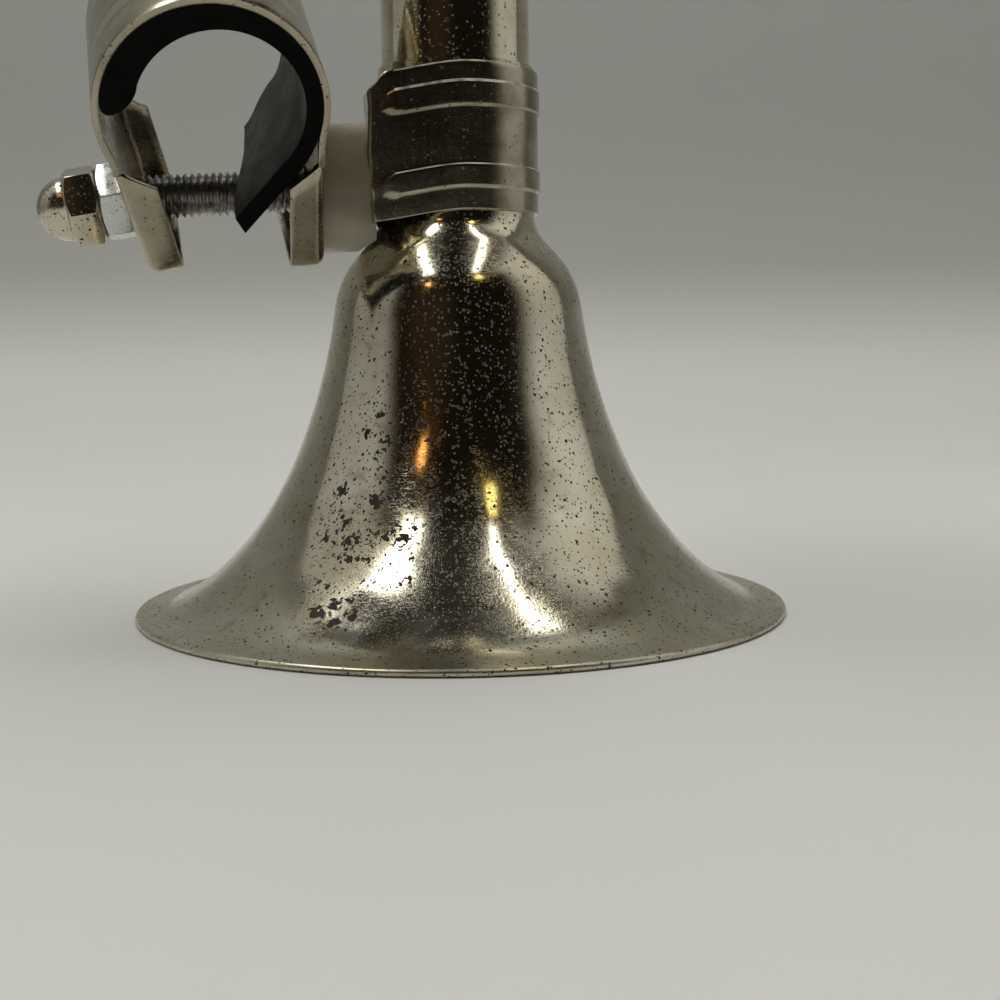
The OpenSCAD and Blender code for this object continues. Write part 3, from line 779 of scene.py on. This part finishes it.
def clamp_screw():
    """Thin head, plain start, rolled thread and the bent end inside the nuts."""
    around = 64
    points = []
    head_x = SEAT_X - COLLAR_WALL - 0.03
    stations = [(head_x - HEAD_T, 0.0), (head_x - HEAD_T, HEAD_R - 0.2), (head_x - 0.3, HEAD_R - 0.02)]
    stations += [(head_x - 0.1, HEAD_R), (head_x, HEAD_R - 0.08), (head_x, SCREW_R)]
    stations += [(x, SCREW_R) for x in (12.0, 14.0, 16.0)]
    steps = int((OUTER_EAR_X - 1 - THREAD_X - 0.1) / PITCH * 10)
    stations += [(THREAD_X + 0.1 + PITCH * i / 10, SCREW_R) for i in range(steps)]
    for x, r in stations:
        for j in range(around):
            share = j / around
            depth = 0.0
            if x > THREAD_X:
                phase = (x / PITCH - share) % 1.0
                flank = min(1.0, max(0.0, 2.5 * abs(phase - 0.5) - 0.12))
                depth = THREAD_DEPTH * flank * smooth((x - THREAD_X) / PITCH)
            a = 2 * math.pi * share
            points.append(clamp_frame((-x, (r - depth) * math.cos(a), (r - depth) * math.sin(a))))
    for out, r in ((0.0, SCREW_R - 0.05), (SCREW_END - 0.4, SCREW_R - 0.05), (SCREW_END, SCREW_R - 0.45)):
        points += [bent_frame((y, x, out)) for x, y in round_points(r, around)]
    count = len(stations) + 3
    faces = grid(count, around, around=True)
    faces.append(tuple(range(around)))
    faces.append(tuple((count - 1) * around + j for j in range(around)))
    obj = make("clamp_screw", points, faces, STEEL, 25)
    outward(obj)
    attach(obj, "handlebar_clamp")
    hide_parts("clamp_screw")


def hexagon_radius(a):
    """Distance from the axis to the wall of the hexagon, corners on the X axis."""
    part = (a + math.pi / 6) % (math.pi / 3) - math.pi / 6
    return NUT_AF / 2 / math.cos(part - math.copysign(math.pi / 6, part))


def nut(name, height, dome, material, turn, out):
    """Hexagon with both ends chamfered round, with a thread's bore or a domed cap."""
    around = 96
    face_r = 0.97 * NUT_AF / 2
    slope = math.tan(math.radians(30))
    rows = []
    bore = SCREW_R + 0.05
    rows.append([(bore, 0.3)] * around)
    rows.append([(bore + 0.3, 0.0)] * around)
    rows.append([(face_r - 0.15, 0.0)] * around)
    rows.append([(face_r, 0.03)] * around)
    walls = [hexagon_radius(2 * math.pi * j / around) for j in range(around)]
    rows.append([(r, 0.03 + (r - face_r) * slope) for r in walls])
    rows.append([(r, height - 0.03 - (r - face_r) * slope) for r in walls])
    rows.append([(face_r, height - 0.03)] * around)
    if dome:
        rows.append([(face_r - 0.12, height)] * around)
        rows.append([(DOME_R + 0.1, height)] * around)
        rows.append([(DOME_R, height + 0.1)] * around)
        ball = arc((0, DOME_H - DOME_R), DOME_R, 8, 86, 18)
        rows += [[(r, max(z, height + 0.2))] * around for r, z in ball]
        rows.append([(0.02, DOME_H)] * around)
        closed = [(bore - 0.05, DOME_HOLLOW - 0.4), (bore - 0.3, DOME_HOLLOW - 0.1), (0.02, DOME_HOLLOW)]
    else:
        rows.append([(face_r - 0.15, height)] * around)
        rows.append([(bore + 0.3, height)] * around)
        rows.append([(bore, height - 0.3)] * around)
        closed = []
    points = []
    for row in rows:
        for j, (r, z) in enumerate(row):
            a = 2 * math.pi * j / around
            points.append(bent_frame((r * math.cos(a), r * math.sin(a), z + out), turn))
    if dome:
        faces = grid(len(rows), around, around=True)
        faces.append(tuple((len(rows) - 1) * around + j for j in range(around)))
        low = len(points)
        for r, z in closed:
            points += [bent_frame((x, y, z + out), turn) for x, y in round_points(r, around)]
        faces += [(j, (j + 1) % around, low + (j + 1) % around, low + j) for j in range(around)]
        faces += [tuple(low + k for k in face) for face in grid(len(closed), around, around=True)]
        faces.append(tuple(low + (len(closed) - 1) * around + j for j in range(around)))
    else:
        faces = grid(len(rows), around, around=True, closed=True)
    obj = make(name, points, faces, material, 20)
    outward(obj)
    bevel(obj, 0.09, 2, 22)
    apply(obj, 30)
    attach(obj, "handlebar_clamp")
    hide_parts(name)


# Strap and liner

def rounded(path, back, steps):
    """Polyline whose marked corners are eased from back mm before them: path holds (x, z, marked)."""
    found = []
    for i, (x, z, marked) in enumerate(path):
        if not marked:
            found.append((x, z))
            continue
        corner = (x, z)
        a, b = path[i - 1][:2], path[i + 1][:2]
        start = between(corner, a, back / math.dist(corner, a))
        end = between(corner, b, back / math.dist(corner, b))
        found += [eased(start, corner, end, k / steps) for k in range(steps + 1)]
    return found


def strap_path():
    """Outer face of the strap in the clamp's XZ plane, from the inner ear to the outer ear."""
    lean = math.radians(EAR_LEAN)
    inner_z = RING_Z - math.sqrt(RING_R ** 2 - (RING_X - INNER_EAR_X) ** 2)
    inner_angle = math.degrees(math.atan2(inner_z - RING_Z, RING_X - INNER_EAR_X))
    foot = (RING_X - OUTER_EAR_X, -RING_Z)
    way = (-math.sin(lean), math.cos(lean))
    along = -(foot[0] * way[0] + foot[1] * way[1])
    up = along - math.sqrt(along ** 2 - foot[0] ** 2 - foot[1] ** 2 + RING_R ** 2)
    meet = (foot[0] + up * way[0], foot[1] + up * way[1])
    outer_angle = 180 + math.degrees(math.atan(meet[1] / meet[0]))
    ring = arc((-RING_X, RING_Z), RING_R, inner_angle + 9, outer_angle - 9, 72)
    path = [(-INNER_EAR_X, FLANGE_TOP, False), (-INNER_EAR_X, inner_z, True)]
    path += [(x, z, False) for x, z in ring]
    path.append((meet[0] - RING_X, meet[1] + RING_Z, True))
    start = (-OUTER_EAR_X + FLANGE_TOP * way[0], FLANGE_TOP * way[1])
    path.append((start[0], start[1], False))
    return rounded(path, 1.3, 5)


def clamp_strap():
    """One strap bent into a ring, with a tray shaped ear at each end."""
    points = []
    faces = []

    def add(rows, where):
        """Adds a grid of points and its faces."""
        low = len(points)
        for row in rows:
            points.extend(where(p) for p in row)
        faces.extend(tuple(low + k for k in face) for face in grid(len(rows), len(rows[0])))

    half = STRAP_W / 2
    inset = half - EAR_CORNER
    flat = EAR_CORNER - FOLD_R
    across = [-half, -inset - flat] + [inset * (i / 5 - 1) for i in range(11)] + [inset + flat, half]
    add([[(x, y, z) for y in across] for x, z in strap_path()], clamp_frame)

    # Section of the fold: distance out from the inset line, and depth
    section = [(0, 0)] + arc((flat, FOLD_R), FOLD_R, -90, 0, 6)
    section += [(EAR_CORNER, d) for d in (2.2, 3.0, FLANGE_D)]
    low = -(EAR_DROP - EAR_CORNER)

    def ear(where):
        """Flat of the ear, the folded flange on each side and the fold at its foot."""
        add([[(0, y, z) for y in across[2:-2]] for z in (FLANGE_TOP, 6, 4, 2, 0, -1.5, low)], where)
        for side in (1, -1):
            rows = []
            for k in range(7):
                row = []
                for w, d in section:
                    cut_down = max(0.0, d - STRAP_T) / (FLANGE_D - STRAP_T)
                    top = FLANGE_TOP - (FLANGE_TOP - FLANGE_LOW) * cut_down
                    row.append((d, side * (inset + w), low + (top - low) * (1 - k / 6)))
                rows.append(row)
            for k in range(1, 9):
                a = math.pi / 2 * k / 8
                c, s = math.cos(a), math.sin(a)
                rows.append([(d, side * (inset + w * c), low - w * s) for w, d in section])
            add(rows, where)
        add([[(d, y, low - w) for w, d in section] for y in across[2:-2]], where)

    def inner_ear(p):
        return clamp_frame((-INNER_EAR_X - p[0], p[1], p[2]))

    def outer_ear(p):
        leant = turned((p[0], p[1], p[2]), "Y", -EAR_LEAN)
        return clamp_frame(leant + Vector((-OUTER_EAR_X, 0, 0)))

    ear(inner_ear)
    ear(outer_ear)
    obj = make("clamp_strap", points, faces, STRAP_NICKEL)
    weld = obj.modifiers.new("weld", "WELD")
    weld.merge_threshold = 0.02 * MM
    apply(obj)
    outward(obj)
    middle = Vector((-RING_X, 0, RING_Z + RING_R))
    top = min(obj.data.polygons, key=lambda f: (f.center / MM - clamp_frame(middle)).length)
    facing = top.normal.dot(clamp_frame(middle) - clamp_frame((-RING_X, 0, RING_Z)))
    wall = obj.modifiers.new("wall", "SOLIDIFY")
    wall.thickness = STRAP_T * MM
    wall.offset = -1 if facing > 0 else 1
    bevel(obj, 0.14, 2, 40)
    apply(obj, 30)
    outward(obj)
    hole = cylinder("hole", EAR_HOLE_R, -OUTER_EAR_X - 3, -INNER_EAR_X + 3)
    cut(obj, hole)
    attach(obj, "handlebar_clamp")
    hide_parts("clamp_strap")


def cylinder(name, r, x_low, x_high):
    """Round cutter along the screw."""
    around = 64
    points = [clamp_frame((x, y, z)) for x in (x_low, x_high) for y, z in round_points(r, around)]
    faces = grid(2, around, around=True)
    faces += [tuple(range(around)), tuple(around + j for j in range(around))]
    obj = make(name, points, faces, STEEL)
    outward(obj)
    return obj


def clamp_liner():
    """Rubber lining: squeezed thicker on its far side, with a free tail that the screw passes."""
    def inner_at(a):
        r = BORE_SHIFT * math.cos(a) + math.sqrt(BAR_R ** 2 - (BORE_SHIFT * math.sin(a)) ** 2)
        return (r * math.cos(a), r * math.sin(a))

    stations = []
    leave = math.radians(-LINER_LEAVE)
    way_angle = math.radians(270 - LINER_LEAVE + 1.5)
    way = (math.cos(way_angle), math.sin(way_angle))
    low_inner, low_outer = inner_at(leave), (LINER_R * math.cos(leave), LINER_R * math.sin(leave))
    for i in range(14, 0, -1):
        t = i / 14
        inner = blended((1, TAIL_LEN * t), (low_inner, way))
        outer = blended((1, (TAIL_LEN + TAIL_SKEW) * t), (low_outer, way))
        stations.append((inner, outer, t))
    # The far end is cut on a slant, its inner face shorter, and is rounded along the ring
    end = math.radians(LINER_END)
    for i in range(81):
        share = i / 80
        inward = leave + (end - math.radians(LINER_SLANT) - leave) * share
        a = leave + (end + math.radians(LINER_LIP) - leave) * share
        stations.append((inner_at(inward), (LINER_R * math.cos(a), LINER_R * math.sin(a)), 0.0))
    inner, outer, _ = stations[-1]
    centre = between(inner, outer, 0.5)
    half = blended((0.5, -0.5), (outer, inner))
    ahead = (-math.sin(end), math.cos(end))
    for i in range(1, 8):
        a = math.radians(11 * i)
        at = blended((1, LINER_ROUND * math.sin(a)), (centre, ahead))
        inner = blended((1, -math.cos(a)), (at, half))
        outer = blended((1, math.cos(a)), (at, half))
        stations.append((inner, outer, 0.0))
    across = [-1, -0.97] + [i / 6 for i in range(-5, 6)] + [0.97, 1]
    points = []
    for inner, outer, tail in stations:
        # The far side of the tail, and of the ring just above it, lies nearer the strap
        turn = math.degrees(math.atan2(inner[1], inner[0]))
        bent = smooth(tail + 0.08) * tail
        if tail:
            over = TAIL_PUSH * bent + (LINER_PUSH + 0.35 * math.sin(math.pi * tail))
            under = over
        else:
            over = LINER_PUSH * smooth((-8 - turn) / 34)
            under = over * smooth((-22 - turn) / 19)
        loop = [(outer, share * STRAP_W / 2, under) for share in across]
        loop += [(inner, share * STRAP_W / 2, over) for share in across[::-1]]
        for (x, z), y, push in loop:
            back = smooth((y + STRAP_W / 2) / STRAP_W)
            points.append(clamp_frame((x - RING_X + push * back, y, z + RING_Z + 0.8 * bent * back)))
    cols = 2 * len(across)
    faces = grid(len(stations), cols, around=True)
    faces += [tuple(range(cols)), tuple((len(stations) - 1) * cols + j for j in range(cols))]
    obj = make("clamp_liner", points, faces, LINER_RUBBER)
    outward(obj)
    # The cut edges are blacker than the moulded faces
    obj.data.materials.append(CUT_RUBBER)
    sideways = clamp_frame((0, 1, 0)) - clamp_frame((0, 0, 0))
    for face in obj.data.polygons:
        if abs(face.normal.dot(sideways)) > 0.6:
            face.material_index = 1
    bevel(obj, 0.16, 2, 50)
    apply(obj, 35)
    cut(obj, cylinder("notch", SCREW_R + 0.3, -OUTER_EAR_X + 0.5, -INNER_EAR_X), sharp=35)
    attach(obj, "handlebar_clamp")
    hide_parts("clamp_liner")


# Bulb and reed

def bulb():
    """Pear-shaped squeeze bulb with a cuff on the tube."""
    grip = TUBE_R + 0.05
    lip = BULB_NECK_R + CUFF_LIP
    mid, top = BULB_MID, BULB_TOP
    rise = mid - TUBE_TOP
    inner_r = BULB_R - BULB_WALL
    inner_top = top - BULB_WALL

    def curve(steps, first, *corners):
        """Points of a cubic curve, without their normals."""
        return [at for at, _ in cubic(corners, steps, first)]

    outside = curve(40, 0, (BULB_NECK_R, BULB_START), (BULB_NECK_R, BULB_START + 0.2 * rise),
                    (BULB_R, mid - 0.6 * rise), (BULB_R, mid))
    outside += curve(40, 1, (BULB_R, mid), (BULB_R, mid + ROUND_PULL * (top - mid)),
                     (ROUND_PULL * BULB_R, top), (0.01, top))
    inside = curve(20, 0, (grip, BULB_START), (grip, BULB_START + 0.24 * rise),
                   (inner_r, mid - 0.55 * rise), (inner_r, mid))
    inside += curve(20, 1, (inner_r, mid), (inner_r, mid + ROUND_PULL * (inner_top - mid)),
                    (ROUND_PULL * inner_r, inner_top), (0.01, inner_top))
    cuff = [(grip, BULB_LOW + 0.4), (grip + 0.4, BULB_LOW)]
    cuff += arc((lip - CUFF_ROUND, BULB_LOW + CUFF_ROUND), CUFF_ROUND, -90, 0, 5)
    cuff += arc((lip - CUFF_ROUND, BULB_LOW + CUFF_H - CUFF_ROUND), CUFF_ROUND, 0, 90, 5)
    cuff += [(BULB_NECK_R, BULB_LOW + CUFF_H + 0.2 + 0.65 * i) for i in range(22)]
    outline = cuff + outside + inside[::-1]

    def moulded(point):
        """A fine parting line runs over the bulb in the plane of the clamp."""
        x, y, z = point
        r = math.hypot(x, y)
        if r < grip + 0.5 or z < BULB_LOW + 0.5:
            return point
        ridge = 0.12 * math.exp(-(y / 0.55) ** 2) * smooth((r - 1) / 6)
        sag = 0.25 * wobble(x, y, z, 18, 4.4) * smooth((z - BULB_START) / 12)
        push = 1 + (ridge + sag - 0.13) / r
        return (x * push, y * push, z)

    obj = revolve("bulb", outline, BULB_RUBBER, 320, moulded, 40)
    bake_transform(obj)
    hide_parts("bulb")


def reed():
    """The brass reed parts are as the CAD has them."""
    for name in ("reed_block", "reed_shallot", "reed_tongue", "reed_wedge"):
        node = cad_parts[name]
        node.data.materials.clear()
        node.data.materials.append(BRASS)


# Stage

VIEW_TURN = -12
# Brightness of the tent's parts
STRIP_LIGHT = 6.5
LEFT_WALL = 0.44
RIGHT_WALL = 0.72
REAR_WALL = 0.20
ROOF = 0.70
OVERHEAD = 4.0
# Lamps in the dark room: angle to the right of the camera, rise, size in degrees, glow
GLINTS = ((-31, 40, 3, (6.0, 2.8, 0.8)), (26, 50, 4, (5.0, 3.9, 1.4)), (-26, 18, 26, (0.022, 0.012, 0.006)))


def stage():
    """Pale table that sweeps up into a grey backdrop."""
    across = [-900 + 1800 * i / 24 for i in range(25)]
    reach, bend = 330.0, 60.0
    side = [(-1200, 0), (-600, 0), (-200, 0), (0, 0), (200, 0), (reach - bend, 0)]
    side += arc((reach - bend, bend), bend, -90, 0, 16)[1:]
    side += [(reach, z) for z in (100, 200, 400, 700, 1100)]
    points = [turned((x, y, z), "Z", VIEW_TURN) for y, z in side for x in across]
    p = Paint("table and backdrop", (0.6, 0.6, 0.58), 0.6)
    height = p.node("ShaderNodeSeparateXYZ")
    p.feed(height.inputs[0], p.place)
    wall = p.ramp(height.outputs["Z"], 0.002, 0.03)
    # Painted shade: the backdrop is painted darker towards its top
    top = p.ramp(height.outputs["Z"], 0.0, 0.13)
    grey = p.mix(top, (0.64, 0.65, 0.63), (0.465, 0.482, 0.46))
    table = p.mix(p.noise(40, 2, 0.5), (0.55, 0.555, 0.54), (0.58, 0.585, 0.57))
    p.link(p.mix(wall, table, grey), "Base Color")
    p.set("Specular IOR Level", 0.25)
    p.bump(p.noise(0.5, 2, 0.5), 0.006)
    obj = make("table", points, grid(len(side), len(across)), p.material)


def studio():
    """A light tent: two strips overhead, pale sides and back, and a dark opening on the camera's side."""
    world = bpy.data.worlds.new("studio")
    bpy.context.scene.world = world
    world.use_nodes = True
    t = Tree(world.node_tree)
    back = world.node_tree.nodes["Background"]
    turn = t.node("ShaderNodeVectorRotate", rotation_type="Z_AXIS")
    turn.inputs["Angle"].default_value = math.radians(-VIEW_TURN)
    t.feed(turn.inputs["Vector"], t.node("ShaderNodeTexCoord").outputs["Generated"])
    split = t.node("ShaderNodeSeparateXYZ")
    t.feed(split.inputs[0], turn.outputs[0])
    right, away, up = split.outputs
    # Angle round from the camera's side in degrees, to the right above 0
    angle = t.math("DEGREES", t.math("ARCTAN2", right, t.times(away, -1.0)))
    left_wall = t.times(t.ramp(angle, -150, -105), t.ramp(angle, -52, -74))
    right_wall = t.times(t.ramp(angle, 50, 78), t.ramp(angle, 140, 100))
    rear = t.ramp(t.math("ABSOLUTE", angle), 105, 140)
    sides = t.add(t.times(left_wall, LEFT_WALL), t.times(right_wall, RIGHT_WALL))
    sides = t.times(sides, t.ramp(up, -0.1, 0.75, 0.55, 1.1))
    low = t.add(t.add(sides, t.times(rear, REAR_WALL)), 0.008)
    # The roof is dark between the strips and pale outside them
    height = t.math("MAXIMUM", up, 0.05)
    across = t.math("DIVIDE", right, height)
    along = t.math("DIVIDE", away, height)
    roof = t.add(t.ramp(across, -0.34, -0.54, 0.0, ROOF), t.ramp(across, 0.36, 0.70, 0.0, ROOF))
    roof = t.times(t.add(roof, 0.015), t.ramp(along, -1.0, -0.45, 0.1, 1.0))
    left_strip = t.ramp(t.math("ABSOLUTE", t.add(across, 0.46)), 0.13, 0.06)
    right_strip = t.ramp(t.math("ABSOLUTE", t.add(across, -0.27)), 0.055, 0.02)
    strip = t.times(t.math("MAXIMUM", left_strip, right_strip),
                    t.times(t.ramp(along, -0.66, -0.50), t.ramp(along, 0.92, 0.74)))
    share = t.ramp(up, 0.74, 0.86)
    light = t.add(t.times(low, t.math("SUBTRACT", 1.0, share)), t.times(roof, share))
    light = t.add(light, t.times(strip, STRIP_LIGHT))
    colour = t.mix(t.ramp(light, 0.02, 0.3), (0.86, 0.72, 0.52), (1.0, 0.985, 0.94))
    scaled = t.node("ShaderNodeVectorMath", operation="SCALE")
    t.feed(scaled.inputs[0], colour)
    t.feed(scaled.inputs["Scale"], light)
    total = scaled.outputs["Vector"]
    for round_angle, rise, size, glow in GLINTS:
        a, e = math.radians(round_angle), math.radians(rise)
        way = (math.sin(a) * math.cos(e), -math.cos(a) * math.cos(e), math.sin(e))
        spot = t.ramp(t.vector("DOT_PRODUCT", turn.outputs[0], way), math.cos(math.radians(size)), 1.0)
        made = t.node("ShaderNodeVectorMath", operation="SCALE")
        made.inputs[0].default_value = glow
        t.feed(made.inputs["Scale"], spot)
        total = t.vector("ADD", total, made.outputs["Vector"])
    seen = t.node("ShaderNodeLightPath").outputs["Is Camera Ray"]
    t.feed(back.inputs["Color"], t.mix(seen, total, (0.42, 0.42, 0.40)))
    lamp = bpy.data.lights.new("overhead", "AREA")
    lamp.shape = "DISK"
    lamp.size = 0.7
    lamp.energy = OVERHEAD
    lamp.color = (1.0, 0.99, 0.965)
    hung = bpy.data.objects.new("overhead", lamp)
    hung.location = (0.0, 0.16, 0.75)
    hung.visible_glossy = False
    bpy.context.scene.collection.objects.link(hung)


def camera():
    """Low and close, level with the bell, as the photograph was taken."""
    distance, height = 174.2, 32.1
    # In radians
    pitch, roll, yaw = 0.1094, -0.0102, 0.0274
    ahead = Vector((math.sin(yaw) * math.cos(pitch), math.cos(yaw) * math.cos(pitch), -math.sin(pitch)))
    right = ahead.cross(Vector((0, 0, 1))).normalized()
    up = right.cross(ahead)
    tilted = right * math.cos(roll) + up * math.sin(roll)
    upright = -right * math.sin(roll) + up * math.cos(roll)
    data = bpy.data.cameras.new("camera")
    data.lens = 51.43
    data.sensor_width = 36
    data.clip_start = 0.005
    obj = bpy.data.objects.new("camera", data)
    bpy.context.scene.collection.objects.link(obj)
    pose = Matrix((tilted, upright, -ahead)).transposed().to_4x4()
    pose.translation = Vector((0, -distance, height)) * MM
    obj.matrix_world = Matrix.Rotation(math.radians(VIEW_TURN), 4, "Z") @ pose
    bpy.context.scene.camera = obj


# The whole scene

camera()
studio()
stage()
bell()
sound_tube()
collar()
spacer()
clamp_screw()
nut("hex_nut", NUT_H, False, ZINC, NUT_TURN, NUT_SEAT)
nut("dome_nut", DOME_HEX_H, True, DOME_NICKEL, DOME_TURN, NUT_SEAT + NUT_H)
clamp_strap()
clamp_liner()
bulb()
reed()
bpy.context.scene.view_settings.view_transform = "Standard"
